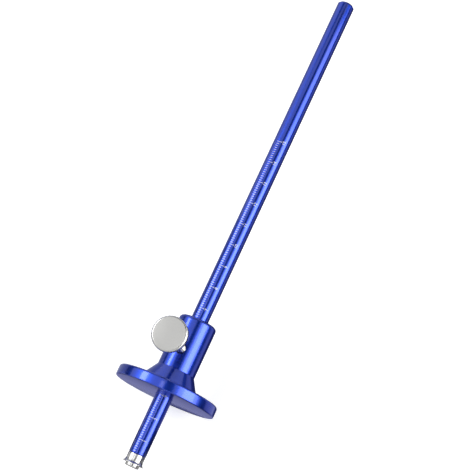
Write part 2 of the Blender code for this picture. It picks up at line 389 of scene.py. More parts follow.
class GaugeFinishes(bpy.types.PropertyGroup):
    anodising: FloatVectorProperty(
        name="Anodising", description="Dyed metal", default=(0.010, 0.044, 0.44), subtype="COLOR"
    )
    bright_steel: FloatVectorProperty(
        name="Bright steel", description="Cutter and its screw", default=(0.66, 0.66, 0.65), subtype="COLOR"
    )
    satin_steel: FloatVectorProperty(
        name="Satin steel", description="Thumb screw", default=(0.50, 0.50, 0.49), subtype="COLOR"
    )
    brass: FloatVectorProperty(
        name="Brass", description="Pressure pad", default=(0.70, 0.50, 0.18), subtype="COLOR"
    )
    rubber: FloatVectorProperty(
        name="Rubber", description="Friction ring", default=(0.02, 0.02, 0.02), subtype="COLOR"
    )
    marking: FloatVectorProperty(
        name="Marking", description="Scale", default=(0.86, 0.88, 0.95), subtype="COLOR"
    )


class GaugeStudio(bpy.types.PropertyGroup):
    aim: FloatVectorProperty(
        name="Aim", description="Point the camera looks at", default=(-0.00494, 0.00161, 0.02258)
    )
    distance: FloatProperty(name="Distance", description="Camera to aim", default=0.61652, unit="LENGTH")
    azimuth: FloatProperty(name="Azimuth", description="Of the camera, in degrees", default=-40.235)
    elevation: FloatProperty(name="Elevation", description="Of the camera, in degrees", default=69.620)
    roll: FloatProperty(name="Roll", description="Of the camera, in degrees", default=-26.573)
    lens: FloatProperty(
        name="Lens", description="Focal length in millimetres on a 36 mm frame", default=111.05
    )
    facing: FloatProperty(
        name="Facing", description="Direction of the camera round the beam, in degrees", default=105.7
    )
    lamp_distance: FloatProperty(
        name="Lamp distance", description="Lamps to beam", default=0.60, unit="LENGTH"
    )
    card_height: FloatProperty(
        name="Card height", description="Of the low cards above the floor", default=0.0004, unit="LENGTH"
    )
    floor_size: FloatProperty(name="Floor", description="Side of the floor", default=6.0, unit="LENGTH")
    floor_glow: FloatProperty(name="Floor glow", description="Light that whitens the floor", default=0.55)
    world_light: FloatProperty(
        name="World light", description="Of the surroundings on the object", default=0.25
    )


def rounded_profile(bm, points, closed):
    """Draws a turned section from (along, radius, rounding) points, with radius on X and along on Z."""
    verts = [bm.verts.new((radius, 0, along)) for along, radius, _ in points]
    pairs = list(zip(verts, verts[1:]))
    if closed:
        pairs.append((verts[-1], verts[0]))
    for pair in pairs:
        bm.edges.new(pair)
    for vertex, (_, _, rounding) in zip(verts, points):
        if rounding:
            bmesh.ops.bevel(
                bm,
                geom=[vertex],
                offset=rounding,
                offset_type="OFFSET",
                segments=CORNER_STEPS,
                profile=0.5,
                affect="VERTICES",
                material=-1,
            )


def turned(points, steps, closed=False):
    """A bmesh turned once round the Z axis from a section."""
    bm = bmesh.new()
    rounded_profile(bm, points, closed)
    bmesh.ops.spin(
        bm,
        geom=list(bm.verts) + list(bm.edges),
        cent=(0, 0, 0),
        axis=(0, 0, 1),
        angle=math.tau,
        steps=steps,
        use_merge=True,
    )
    bmesh.ops.remove_doubles(bm, verts=bm.verts, dist=MERGE_DISTANCE)
    bmesh.ops.recalc_face_normals(bm, faces=bm.faces)
    return bm


def along_beam(place):
    """Stands a piece turned round Z on the beam's axis, from a place along X."""
    return Matrix.Translation((place, 0, AXIS_HEIGHT)) @ Matrix.Rotation(math.pi / 2, 4, "Y")


def across_beam():
    """Stands a piece turned round Z on the thumb screw's axis, measured outwards from the beam's axis."""
    return Matrix.Translation((THUMB_PLACE, 0, AXIS_HEIGHT))


def piece_from(name, bm, place, material, body, nodes):
    """Makes the finished object, puts it on its body and in its node's place."""
    bmesh.ops.transform(bm, matrix=place, verts=bm.verts)
    mesh = bpy.data.meshes.new(name)
    bm.to_mesh(mesh)
    bm.free()
    mesh.shade_smooth()
    mesh.set_sharp_from_angle(angle=SHARP_ANGLE)
    mesh.materials.append(material)
    piece = bpy.data.objects.new(name, mesh)
    bpy.context.scene.collection.objects.link(piece)
    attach(piece, body)
    if nodes:
        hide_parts(*nodes)


def subtract(bm, cutter_bm):
    """Cuts one closed bmesh out of another and returns the result."""
    objects = []
    for label, source in (("whole", bm), ("cutter", cutter_bm)):
        mesh = bpy.data.meshes.new(label)
        source.to_mesh(mesh)
        source.free()
        obj = bpy.data.objects.new(label, mesh)
        bpy.context.scene.collection.objects.link(obj)
        objects.append(obj)
    whole, cutter = objects
    modifier = whole.modifiers.new("cut", "BOOLEAN")
    modifier.operation = "DIFFERENCE"
    modifier.solver = "EXACT"
    modifier.object = cutter
    graph = bpy.context.evaluated_depsgraph_get()
    result = bmesh.new()
    result.from_object(whole, graph)
    for obj in objects:
        mesh = obj.data
        bpy.data.objects.remove(obj)
        bpy.data.meshes.remove(mesh)
    return result


def joined(first, second):
    """Adds the second bmesh's solid to the first."""
    mesh = bpy.data.meshes.new("part")
    second.to_mesh(mesh)
    second.free()
    first.from_mesh(mesh)
    bpy.data.meshes.remove(mesh)
    return first


def thread(bm, radius, start, end, pitch, depth):
    """Draws the wall at a radius in towards Z, for a helical thread that runs out at start and end."""
    for vertex in bm.verts:
        at = vertex.co
        if abs(math.hypot(at.x, at.y) - radius) > depth * WALL_SHARE or not start <= at.z <= end:
            continue
        turn = math.atan2(at.y, at.x) / math.tau
        share = ((at.z - start) / pitch - turn) % 1
        valley = 1 - abs(2 * share - 1)
        run_out = min(1, (at.z - start) / pitch, (end - at.z) / pitch)
        drawn = 1 - depth * valley * max(0, run_out) / radius
        at.x *= drawn
        at.y *= drawn


def thread_rows(radius, start, end, pitch):
    """Section points for a wall that is fine enough to be threaded."""
    count = max(2, round((end - start) / pitch * ROWS_PER_PITCH))
    return [(start + (end - start) * step / count, radius, 0) for step in range(count + 1)]


def knurl(bm, radius, depth, teeth):
    """Draws every other line of the wall at a radius in, for a straight knurl."""
    for vertex in bm.verts:
        at = vertex.co
        here = math.hypot(at.x, at.y)
        if abs(here - radius) > depth / 2:
            continue
        wave = (1 - math.cos(math.atan2(at.y, at.x) * teeth)) / 2
        at.x *= 1 - depth * wave / here
        at.y *= 1 - depth * wave / here


def wrap_on_beam(bm, sizes):
    """Bends flat work, drawn along X and up Y, round the beam at the scale's middle line."""
    for vertex in bm.verts:
        angle = math.radians(sizes.facing_angle) - vertex.co.y / BEAM_RADIUS
        radius = BEAM_RADIUS + vertex.co.z
        vertex.co = (vertex.co.x, radius * math.cos(angle), AXIS_HEIGHT + radius * math.sin(angle))


def slice_rows(bm, low, high, step):
    """Cuts flat work into rows, so that it can bend."""
    count = math.ceil((high - low) / step)
    for row in range(1, count):
        bmesh.ops.bisect_plane(
            bm,
            geom=list(bm.verts) + list(bm.edges) + list(bm.faces),
            dist=MERGE_DISTANCE,
            plane_co=(0, low + (high - low) * row / count, 0),
            plane_no=(0, 1, 0),
        )


def new_group(name, inputs, outputs):
    """A shader node group with float and vector sockets, and its two end nodes."""
    group = bpy.data.node_groups.new(name, "ShaderNodeTree")
    for socket, kind, value in inputs:
        made = group.interface.new_socket(socket, in_out="INPUT", socket_type=kind)
        if value is not None:
            made.default_value = value
    for socket, kind in outputs:
        group.interface.new_socket(socket, in_out="OUTPUT", socket_type=kind)
    return group, group.nodes.new("NodeGroupInput"), group.nodes.new("NodeGroupOutput")


def math_node(tree, operation, first, second=None):
    node = tree.nodes.new("ShaderNodeMath")
    node.operation = operation
    for socket, value in zip(node.inputs, (first, second)):
        if isinstance(value, bpy.types.NodeSocket):
            tree.links.new(value, socket)
        elif value is not None:
            socket.default_value = value
    return node.outputs[0]


def noise_node(tree, vector, scale, detail, roughness=0.5):
    node = tree.nodes.new("ShaderNodeTexNoise")
    node.inputs["Detail"].default_value = detail
    node.inputs["Roughness"].default_value = roughness
    tree.links.new(vector, node.inputs["Vector"])
    if isinstance(scale, bpy.types.NodeSocket):
        tree.links.new(scale, node.inputs["Scale"])
    else:
        node.inputs["Scale"].default_value = scale
    return node.outputs["Fac"]


def range_node(tree, value, low, high, to_low, to_high):
    node = tree.nodes.new("ShaderNodeMapRange")
    tree.links.new(value, node.inputs["Value"])
    for socket, number in (("From Min", low), ("From Max", high), ("To Min", to_low), ("To Max", to_high)):
        if isinstance(number, bpy.types.NodeSocket):
            tree.links.new(number, node.inputs[socket])
        else:
            node.inputs[socket].default_value = number
    return node.outputs["Result"]


def turning_marks_group():
    """Fine rings left by a lathe: they change along and across the turning axis, and slowly round it."""
    group, start, end = new_group(
        "Turning marks",
        [
            ("Vector", "NodeSocketVector", None),
            ("Rings", "NodeSocketFloat", 9000.0),
            ("Unevenness", "NodeSocketFloat", 40.0),
        ],
        [("Rings", "NodeSocketFloat"), ("Bands", "NodeSocketFloat")],
    )
    split = group.nodes.new("ShaderNodeSeparateXYZ")
    group.links.new(start.outputs["Vector"], split.inputs["Vector"])
    square = math_node(group, "MULTIPLY", split.outputs["X"], split.outputs["X"])
    other = math_node(group, "MULTIPLY", split.outputs["Y"], split.outputs["Y"])
    radius = math_node(group, "SQRT", math_node(group, "ADD", square, other))
    path = math_node(group, "ADD", radius, split.outputs["Z"])
    fine = math_node(group, "MULTIPLY", path, start.outputs["Rings"])
    slow_x = math_node(group, "MULTIPLY", split.outputs["X"], start.outputs["Unevenness"])
    slow_y = math_node(group, "MULTIPLY", split.outputs["Y"], start.outputs["Unevenness"])
    stretched = group.nodes.new("ShaderNodeCombineXYZ")
    for value, socket in zip((fine, slow_x, slow_y), stretched.inputs):
        group.links.new(value, socket)
    rings = noise_node(group, stretched.outputs["Vector"], scale=1.0, detail=2.0, roughness=0.6)
    bands = noise_node(group, stretched.outputs["Vector"], scale=0.12, detail=3.0, roughness=0.6)
    group.links.new(rings, end.inputs["Rings"])
    group.links.new(bands, end.inputs["Bands"])
    return group


def handling_group():
    """Soft uneven patches, as left by hands and cleaning, for roughness."""
    group, start, end = new_group(
        "Handling",
        [
            ("Vector", "NodeSocketVector", None),
            ("Low", "NodeSocketFloat", 0.0),
            ("High", "NodeSocketFloat", 1.0),
        ],
        [("Value", "NodeSocketFloat")],
    )
    patches = noise_node(group, start.outputs["Vector"], scale=90.0, detail=4.0, roughness=0.55)
    value = range_node(group, patches, NOISE_LOW, NOISE_HIGH, start.outputs["Low"], start.outputs["High"])
    group.links.new(value, end.inputs["Value"])
    return group


def tint_group():
    """A colour between two shades by a mask."""
    group, start, end = new_group(
        "Tint",
        [
            ("Mask", "NodeSocketFloat", 0.5),
            ("Dark", "NodeSocketColor", (0.0, 0.0, 0.0, 1.0)),
            ("Light", "NodeSocketColor", (1.0, 1.0, 1.0, 1.0)),
        ],
        [("Color", "NodeSocketColor")],
    )
    mix = group.nodes.new("ShaderNodeMix")
    mix.data_type = "RGBA"
    group.links.new(start.outputs["Mask"], mix.inputs["Factor"])
    group.links.new(start.outputs["Dark"], mix.inputs["A"])
    group.links.new(start.outputs["Light"], mix.inputs["B"])
    group.links.new(mix.outputs["Result"], end.inputs["Color"])
    return group


def shared_group(name, maker):
    return bpy.data.node_groups.get(name) or maker()


def place_group(tree, group, **values):
    node = tree.nodes.new("ShaderNodeGroup")
    node.node_tree = group
    for name, value in values.items():
        socket = node.inputs[name.capitalize()]
        if isinstance(value, bpy.types.NodeSocket):
            tree.links.new(value, socket)
        else:
            socket.default_value = value
    return node


def centred_coordinates(tree, axis):
    """Object coordinates with the turning axis on Z: the beam's axis, or the thumb screw's."""
    source = tree.nodes.new("ShaderNodeTexCoord")
    mapping = tree.nodes.new("ShaderNodeMapping")
    mapping.vector_type = "TEXTURE"
    if axis == "beam":
        mapping.inputs["Location"].default_value = (0, 0, AXIS_HEIGHT)
        mapping.inputs["Rotation"].default_value = (0, math.pi / 2, 0)
    else:
        mapping.inputs["Location"].default_value = (THUMB_PLACE, 0, AXIS_HEIGHT)
    tree.links.new(source.outputs["Object"], mapping.inputs["Vector"])
    return mapping.outputs["Vector"]


def new_material(name):
    material = bpy.data.materials.new(name)
    material.use_nodes = True
    tree = material.node_tree
    return material, tree, tree.nodes["Principled BSDF"]


def shade(colour, factor):
    return (*(channel * factor for channel in colour), 1.0)


def turned_metal(name, colour):
    """Metal with lathe rings in its bump, roughness and shade."""
    axis, roughness, rings, bump, contrast, coat, coat_roughness = METALS[name]
    material, tree, shader = new_material(name)
    vector = centred_coordinates(tree, axis)
    turning = shared_group("Turning marks", turning_marks_group)
    marks = place_group(tree, turning, vector=vector, rings=rings)
    hands = shared_group("Handling", handling_group)
    handling = place_group(tree, hands, vector=vector, low=-HANDLING_CONTRAST, high=HANDLING_CONTRAST)
    tint = place_group(
        tree,
        shared_group("Tint", tint_group),
        mask=marks.outputs["Bands"],
        dark=shade(colour, 1 - contrast),
        light=shade(colour, 1 + contrast),
    )
    tree.links.new(tint.outputs["Color"], shader.inputs["Base Color"])
    smoothest = roughness * (1 - RING_CONTRAST)
    roughest = roughness * (1 + RING_CONTRAST)
    ringed = range_node(tree, marks.outputs["Rings"], NOISE_LOW, NOISE_HIGH, smoothest, roughest)
    tree.links.new(math_node(tree, "ADD", ringed, handling.outputs["Value"]), shader.inputs["Roughness"])
    relief = tree.nodes.new("ShaderNodeBump")
    relief.inputs["Strength"].default_value = 1.0
    relief.inputs["Distance"].default_value = bump
    tree.links.new(marks.outputs["Rings"], relief.inputs["Height"])
    tree.links.new(relief.outputs["Normal"], shader.inputs["Normal"])
    shader.inputs["Metallic"].default_value = 1.0
    if coat:
        shader.inputs["Coat Weight"].default_value = coat
        shader.inputs["Coat Roughness"].default_value = coat_roughness
        tree.links.new(relief.outputs["Normal"], shader.inputs["Coat Normal"])
    return material


def marking_material(colour):
    """Matt white marks, a little uneven as burnt or filled marks are."""
    material, tree, shader = new_material("white marking")
    vector = centred_coordinates(tree, "beam")
    grain = noise_node(tree, vector, scale=6000.0, detail=3.0)
    mixer = shared_group("Tint", tint_group)
    tint = place_group(tree, mixer, mask=grain, dark=shade(colour, 0.8), light=shade(colour, 1.08))
    tree.links.new(tint.outputs["Color"], shader.inputs["Base Color"])
    tree.links.new(range_node(tree, grain, NOISE_LOW, NOISE_HIGH, 0.5, 0.7), shader.inputs["Roughness"])
    return material


def rubber_material(colour):
    """Moulded rubber with a fine grain."""
    material, tree, shader = new_material("black rubber finish")
    vector = centred_coordinates(tree, "beam")
    grain = noise_node(tree, vector, scale=9000.0, detail=4.0)
    mixer = shared_group("Tint", tint_group)
    tint = place_group(tree, mixer, mask=grain, dark=shade(colour, 0.7), light=shade(colour, 1.4))
    tree.links.new(tint.outputs["Color"], shader.inputs["Base Color"])
    tree.links.new(range_node(tree, grain, NOISE_LOW, NOISE_HIGH, 0.55, 0.75), shader.inputs["Roughness"])
    relief = tree.nodes.new("ShaderNodeBump")
    relief.inputs["Distance"].default_value = 0.00001
    tree.links.new(grain, relief.inputs["Height"])
    tree.links.new(relief.outputs["Normal"], shader.inputs["Normal"])
    return material


class GAUGE_OT_beam(bpy.types.Operator):
    """Turns the graduated bar with its chamfers and its tapped hole"""

    bl_idname = "gauge.beam"
    bl_label = "Beam"

    def execute(self, context):
        sizes = context.scene.gauge_beam
        finishes = context.scene.gauge_finishes
        length = BEAM_HIGH.x - BEAM_LOW.x
        bm = turned(
            [
                (sizes.hole_depth + sizes.drill_point, 0, 0),
                (sizes.hole_depth, sizes.hole_radius, 0),
                (0, sizes.hole_radius, 0),
                (0, BEAM_RADIUS - sizes.near_chamfer, sizes.near_edge),
                (sizes.near_chamfer, BEAM_RADIUS, sizes.near_edge),
                (length - sizes.far_chamfer, BEAM_RADIUS, sizes.far_edge),
                (length, BEAM_RADIUS - sizes.far_chamfer, sizes.far_edge),
                (length, 0, 0),
            ],
            TURNING_STEPS,
        )
        metal = turned_metal("anodised bar", finishes.anodising)
        piece_from("beam_bar", bm, along_beam(BEAM_LOW.x), metal, "beam", ["beam"])
        return {"FINISHED"}


class GAUGE_OT_scale_marks(bpy.types.Operator):
    """Lays the millimetre and centimetre marks round the beam"""

    bl_idname = "gauge.scale_marks"
    bl_label = "Scale marks"

    def execute(self, context):
        sizes = context.scene.gauge_scale
        zero = RIM_PLACE + sizes.zero_offset
        bm = bmesh.new()
        for number in range(sizes.first_mm, sizes.length_mm + 1):
            tall = sizes.mark_length if number % MARKS_PER_NUMBER else sizes.long_mark_length
            middle = (zero + number * MILLIMETRE, sizes.mark_top - tall / 2, 0)
            box = Matrix.Translation(middle) @ Matrix.Diagonal((sizes.mark_width, tall, sizes.rise * 2, 1))
            bmesh.ops.create_cube(bm, size=1, matrix=box)
        slice_rows(bm, sizes.mark_top - sizes.long_mark_length, sizes.mark_top, sizes.mark_row)
        wrap_on_beam(bm, sizes)
        white = marking_material(context.scene.gauge_finishes.marking)
        piece_from("scale_marks", bm, Matrix.Identity(4), white, "beam", [])
        return {"FINISHED"}


class GAUGE_OT_scale_numbers(bpy.types.Operator):
    """Lays the centimetre numbers round the beam"""

    bl_idname = "gauge.scale_numbers"
    bl_label = "Scale numbers"

    def execute(self, context):
        sizes = context.scene.gauge_scale
        zero = RIM_PLACE + sizes.zero_offset
        spacing = MARKS_PER_NUMBER * MILLIMETRE
        bm = bmesh.new()
        for number in range(1, sizes.length_mm // MARKS_PER_NUMBER + 1):
            text = bpy.data.curves.new("number", "FONT")
            text.body = str(number)
            text.align_x = "CENTER"
            text.align_y = "TOP_BASELINE"
            obj = bpy.data.objects.new("number", text)
            bpy.context.scene.collection.objects.link(obj)
            graph = bpy.context.evaluated_depsgraph_get()
            mesh = bpy.data.meshes.new_from_object(obj.evaluated_get(graph))
            lowest = min(vertex.co.y for vertex in mesh.vertices)
            highest = max(vertex.co.y for vertex in mesh.vertices)
            scale = sizes.number_height / (highest - lowest)
            foot = -sizes.number_top - sizes.number_height - lowest * scale
            place = Matrix.Translation((zero + number * spacing, foot, -sizes.rise))
            mesh.transform(place @ Matrix.Diagonal((scale, scale, 1, 1)))
            bm.from_mesh(mesh)
            bpy.data.objects.remove(obj)
            bpy.data.curves.remove(text)
            bpy.data.meshes.remove(mesh)
        bmesh.ops.remove_doubles(bm, verts=bm.verts, dist=MERGE_DISTANCE)
        faces = bmesh.ops.extrude_face_region(bm, geom=list(bm.faces), use_keep_orig=True)
        raised = [item for item in faces["geom"] if isinstance(item, bmesh.types.BMVert)]
        bmesh.ops.translate(bm, verts=raised, vec=(0, 0, sizes.rise * 2))
        slice_rows(bm, -sizes.number_top - sizes.number_height, -sizes.number_top, sizes.number_row)
        bmesh.ops.recalc_face_normals(bm, faces=bm.faces)
        wrap_on_beam(bm, sizes)
        white = bpy.data.materials["white marking"]
        piece_from("scale_numbers", bm, Matrix.Identity(4), white, "beam", [])
        return {"FINISHED"}


class GAUGE_OT_fence(bpy.types.Operator):
    """Turns the fence with its disc, cone and hub, and drills it for the thumb screw"""

    bl_idname = "gauge.fence"
    bl_label = "Fence"

    def execute(self, context):
        sizes = context.scene.gauge_fence
        finishes = context.scene.gauge_finishes
        disc_radius = (FENCE_HIGH.z - FENCE_LOW.z) / 2
        cone_end = sizes.disc_thickness + sizes.cone_length
        ring = (RING_LOW.x + RING_HIGH.x) / 2 - FENCE_FACE
        hole = THUMB_PLACE - FENCE_FACE
        beside = sizes.hole_radius * sizes.hole_margin
        points = [
            (0, sizes.bore_radius + sizes.bore_chamfer, 0),
            (0, disc_radius, sizes.disc_edge),
            (sizes.disc_thickness, disc_radius, sizes.disc_back_edge),
            (sizes.disc_thickness, sizes.cone_radius, 0),
            (cone_end, sizes.hub_radius, sizes.cone_edge),
            (hole - beside, sizes.hub_radius, 0),
            (hole + beside, sizes.hub_radius, 0),
            (FENCE_LENGTH, sizes.hub_radius, sizes.shoulder),
            (FENCE_LENGTH, sizes.bore_radius + sizes.bore_chamfer, 0),
            (FENCE_LENGTH - sizes.bore_chamfer, sizes.bore_radius, 0),
            (ring + sizes.groove_half, sizes.bore_radius, 0),
            (ring + sizes.groove_half, sizes.groove_radius, 0),
            (ring - sizes.groove_half, sizes.groove_radius, 0),
            (ring - sizes.groove_half, sizes.bore_radius, 0),
            (sizes.bore_chamfer, sizes.bore_radius, 0),
        ]
        bm = turned(points, TURNING_STEPS, closed=True)
        rim = math.sqrt(sizes.hub_radius**2 - sizes.hole_radius**2)
        top = sizes.hub_radius + CUT_OVERRUN
        drill = turned(
            [
                (0, 0, 0),
                (0, sizes.hole_radius, 0),
                (rim - sizes.hole_chamfer, sizes.hole_radius, 0),
                (top, sizes.hole_radius + sizes.hole_chamfer + top - rim, 0),
                (top, 0, 0),
            ],
            SMALL_STEPS,
        )
        bmesh.ops.transform(drill, matrix=Matrix.Rotation(-math.pi / 2, 4, "Y"), verts=drill.verts)
        bmesh.ops.translate(drill, vec=(0, 0, hole), verts=drill.verts)
        bm = subtract(bm, drill)
        metal = turned_metal("anodised fence", finishes.anodising)
        piece_from("fence_turning", bm, along_beam(FENCE_FACE), metal, "fence", ["fence"])
        return {"FINISHED"}


class GAUGE_OT_friction_ring(bpy.types.Operator):
    """Makes the rubber ring in the fence's groove"""

    bl_idname = "gauge.friction_ring"
    bl_label = "Friction ring"

    def execute(self, context):
        section = (RING_HIGH.x - RING_LOW.x) / 2
        middle = (RING_HIGH.z - RING_LOW.z) / 2 - section
        circle = []
        for step in range(RING_STEPS):
            angle = math.tau * step / RING_STEPS
            circle.append((section * math.cos(angle), middle + section * math.sin(angle), 0))
        bm = turned(circle, SMALL_STEPS, closed=True)
        rubber = rubber_material(context.scene.gauge_finishes.rubber)
        place = along_beam((RING_LOW.x + RING_HIGH.x) / 2)
        piece_from("rubber_ring", bm, place, rubber, "friction_ring", ["friction_ring"])
        return {"FINISHED"}


class GAUGE_OT_thumb_screw(bpy.types.Operator):
    """Turns, knurls and threads the thumb screw"""

    bl_idname = "gauge.thumb_screw"
    bl_label = "Thumb screw"

    def execute(self, context):
        sizes = context.scene.gauge_thumb_screw
        finishes = context.scene.gauge_finishes
        pitch = sizes.thread_pitch
        back = HEAD_REACH - sizes.head_thickness
        tip = STUD_END + sizes.pin_length
        thread_start = tip + sizes.point_height
        thread_end = back - sizes.neck_length - pitch
        stud = turned(
            [
                (STUD_END, 0, 0),
                (STUD_END, sizes.pin_radius, sizes.small_round),
                (tip, sizes.pin_radius, 0),
                (tip, sizes.stud_radius - sizes.point_depth, 0),
                *thread_rows(sizes.stud_radius, thread_start, thread_end, pitch),
                (thread_end + pitch / 4, sizes.relief_radius, 0),
                (back, sizes.relief_radius, 0),
                (back, 0, 0),
            ],
            STUD_STEPS,
        )
        thread(stud, sizes.stud_radius, thread_start, thread_end, pitch, sizes.thread_depth)
        head = turned(
            [
                (back - sizes.neck_length, 0, 0),
                (back - sizes.neck_length, sizes.neck_radius, sizes.small_round),
                (back, sizes.neck_radius, 0),
                (back, sizes.head_radius - sizes.back_chamfer, sizes.small_round),
                (back + sizes.back_chamfer, sizes.head_radius, 0),
                (HEAD_REACH - sizes.face_chamfer, sizes.head_radius, 0),
                (HEAD_REACH, sizes.head_radius - sizes.face_chamfer, sizes.face_round),
                (HEAD_REACH, 0, 0),
            ],
            sizes.knurl_teeth * STEPS_PER_TOOTH,
        )
        knurl(head, sizes.head_radius, sizes.knurl_depth, sizes.knurl_teeth)
        bm = joined(stud, head)
        metal = turned_metal("satin steel finish", finishes.satin_steel)
        place = across_beam()
        piece_from("thumb_screw_turning", bm, place, metal, "thumb_screw", ["thumb_screw"])
        return {"FINISHED"}


class GAUGE_OT_pressure_pad(bpy.types.Operator):
    """Turns the brass pad at the thumb screw's point"""

    bl_idname = "gauge.pressure_pad"
    bl_label = "Pressure pad"

    def execute(self, context):
        sizes = context.scene.gauge_pad
        screw = context.scene.gauge_thumb_screw
        finishes = context.scene.gauge_finishes
        radius = (PAD_HIGH.x - PAD_LOW.x) / 2
        low = PAD_LOW.z - AXIS_HEIGHT
        high = PAD_HIGH.z - AXIS_HEIGHT
        socket = screw.pin_radius + sizes.pin_clearance
        bm = turned(
            [
                (low, 0, 0),
                (low, radius, sizes.face_round),
                (high, radius, sizes.back_round),
                (high, socket, 0),
                (STUD_END - sizes.seat_gap, socket, 0),
                (STUD_END - sizes.seat_gap, 0, 0),
            ],
            SMALL_STEPS,
        )
        metal = turned_metal("brass finish", finishes.brass)
        piece_from("brass_pad", bm, across_beam(), metal, "pressure_pad", ["pressure_pad"])
        return {"FINISHED"}


class GAUGE_OT_wheel_cutter(bpy.types.Operator):
    """Grinds the wheel cutter with its hollow flank and its cutting rim"""

    bl_idname = "gauge.wheel_cutter"
    bl_label = "Wheel cutter"

    def execute(self, context):
        sizes = context.scene.gauge_cutter
        finishes = context.scene.gauge_finishes
        flare = []
        for step in range(FLARE_STEPS + 1):
            angle = math.pi / 2 * step / FLARE_STEPS
            along = sizes.land + (sizes.flare_height - sizes.land) * (1 - math.sin(angle))
            spread = (sizes.rim_radius - sizes.boss_radius) * math.cos(angle)
            flare.append((along, sizes.rim_radius - spread, 0))
        points = [
            (sizes.seat_depth, sizes.hole_radius, 0),
            (sizes.seat_depth, sizes.seat_radius, 0),
            (sizes.hollow, sizes.seat_radius, 0),
            (0, sizes.rim_radius, 0),
            *reversed(flare),
            (sizes.height, sizes.boss_radius, sizes.boss_edge),
            (sizes.height, sizes.hole_radius, 0),
        ]
        bm = turned(points, TURNING_STEPS, closed=True)
        metal = turned_metal("ground steel", finishes.bright_steel)
        place = along_beam(RIM_PLACE)
        piece_from("cutter_wheel", bm, place, metal, "beam", ["wheel_cutter"])
        return {"FINISHED"}


class GAUGE_OT_cutter_screw(bpy.types.Operator):
    """Turns the screw that holds the cutter, with its socket and thread"""

    bl_idname = "gauge.cutter_screw"
    bl_label = "Cutter screw"

    def execute(self, context):
        sizes = context.scene.gauge_cutter_screw
        finishes = context.scene.gauge_finishes
        pitch = sizes.thread_pitch
        length = SCREW_HIGH.x - SCREW_LOW.x
        head = sizes.head_height
        thread_end = length - sizes.point_chamfer
        points = [
            (0, 0, 0),
            (0, sizes.head_radius, sizes.head_round),
            (head, sizes.head_radius, 0),
            (head, sizes.shank_radius, 0),
            *thread_rows(sizes.shank_radius, head + pitch, thread_end, pitch),
            (length, sizes.shank_radius - sizes.point_chamfer, 0),
            (length, 0, 0),
        ]
        bm = turned(points, SMALL_STEPS)
        thread(bm, sizes.shank_radius, head + pitch, thread_end, pitch, sizes.thread_depth)
        socket_radius = sizes.socket_flats / 2 / math.cos(math.pi / SOCKET_SIDES)
        socket = bmesh.new()
        bmesh.ops.create_cone(
            socket,
            cap_ends=True,
            segments=SOCKET_SIDES,
            radius1=socket_radius,
            radius2=socket_radius,
            depth=sizes.socket_depth * 2,
        )
        bm = subtract(bm, socket)
        metal = turned_metal("screw steel", finishes.bright_steel)
        place = along_beam(SCREW_LOW.x)
        piece_from("socket_screw", bm, place, metal, "beam", ["cutter_screw"])
        return {"FINISHED"}


def place_round_beam(studio, angle, middle):
    """A place that faces the beam from an angle round it, counted from the camera's side."""
    direction_angle = math.radians(studio.facing + angle)
    out = Vector((0, math.cos(direction_angle), math.sin(direction_angle)))
    along = Vector((1, 0, 0))
    place = Matrix((along, out.cross(along), out)).transposed().to_4x4()
    place.translation = out * studio.lamp_distance + Vector((middle, 0, AXIS_HEIGHT))
    return place


def width_of(studio, spread):
    """Width across the beam that fills a spread, in degrees, at the lamps' distance."""
    return 2 * studio.lamp_distance * math.tan(math.radians(spread / 2))


def add_lamp(name, studio, angle, spread, start, end, radiance):
    """An oblong lamp from one place along the beam to another, so many degrees wide."""
    lamp = bpy.data.lights.new(name, "AREA")
    lamp.shape = "RECTANGLE"
    lamp.size = end - start
    lamp.size_y = width_of(studio, spread)
    lamp.energy = radiance * math.pi * lamp.size * lamp.size_y
    obj = bpy.data.objects.new(name, lamp)
    bpy.context.scene.collection.objects.link(obj)
    obj.matrix_world = place_round_beam(studio, angle, (start + end) / 2)


def flat_sheet(name, length, width, material):
    """A flat sheet in the scene, facing up."""
    bm = bmesh.new()
    bmesh.ops.create_grid(bm, x_segments=1, y_segments=1, size=0.5)
    bmesh.ops.transform(bm, matrix=Matrix.Diagonal((length, width, 1, 1)), verts=bm.verts)
    mesh = bpy.data.meshes.new(name)
    bm.to_mesh(mesh)
    bm.free()
    mesh.materials.append(material)
    sheet = bpy.data.objects.new(name, mesh)
    bpy.context.scene.collection.objects.link(sheet)
    return sheet


def card_material(name, colour):
    """A glowing card that shows its own colour in reflections, whatever falls on it: a painted reflection,
    and painted shade where the colour is dark.
    """
    material, _, shader = new_material(name)
    shader.inputs["Base Color"].default_value = (0, 0, 0, 1)
    shader.inputs["Specular IOR Level"].default_value = 0.0
    shader.inputs["Emission Color"].default_value = (*colour, 1)
    shader.inputs["Emission Strength"].default_value = 1.0
    return material


def add_card(name, place, length, width, colour):
    """A glowing card that only reflections see, as a photographer darkens a bright metal's edges; its
    colour is a painted reflection, dark ones painted shade.
    """
    card = flat_sheet(name, length, width, card_material(name, colour))
    card.matrix_world = place
    card.visible_camera = False
    card.visible_diffuse = False
    card.visible_transmission = False
    card.visible_shadow = False


def background_rays(tree):
    """1 for the rays that show the background: camera, glossy and transmission rays."""
    path = tree.nodes.new("ShaderNodeLightPath")
    seen = math_node(tree, "MAXIMUM", path.outputs["Is Camera Ray"], path.outputs["Is Glossy Ray"])
    return math_node(tree, "MAXIMUM", seen, path.outputs["Is Transmission Ray"])


def floor_material(floor_glow):
    """Plain white that stays white to the camera and keeps a faint shadow."""
    material, tree, shader = new_material("floor white")
    shader.inputs["Base Color"].default_value = (0.8, 0.8, 0.8, 1)
    shader.inputs["Roughness"].default_value = 0.9
    shader.inputs["Specular IOR Level"].default_value = 0.0
    shader.inputs["Emission Color"].default_value = (1, 1, 1, 1)
    glow = math_node(tree, "MULTIPLY", background_rays(tree), floor_glow)
    tree.links.new(glow, shader.inputs["Emission Strength"])
    return material


def add_floor(studio):
    """The white floor under the gauge."""
    material = floor_material(studio.floor_glow)
    floor = flat_sheet("floor", studio.floor_size, studio.floor_size, material)


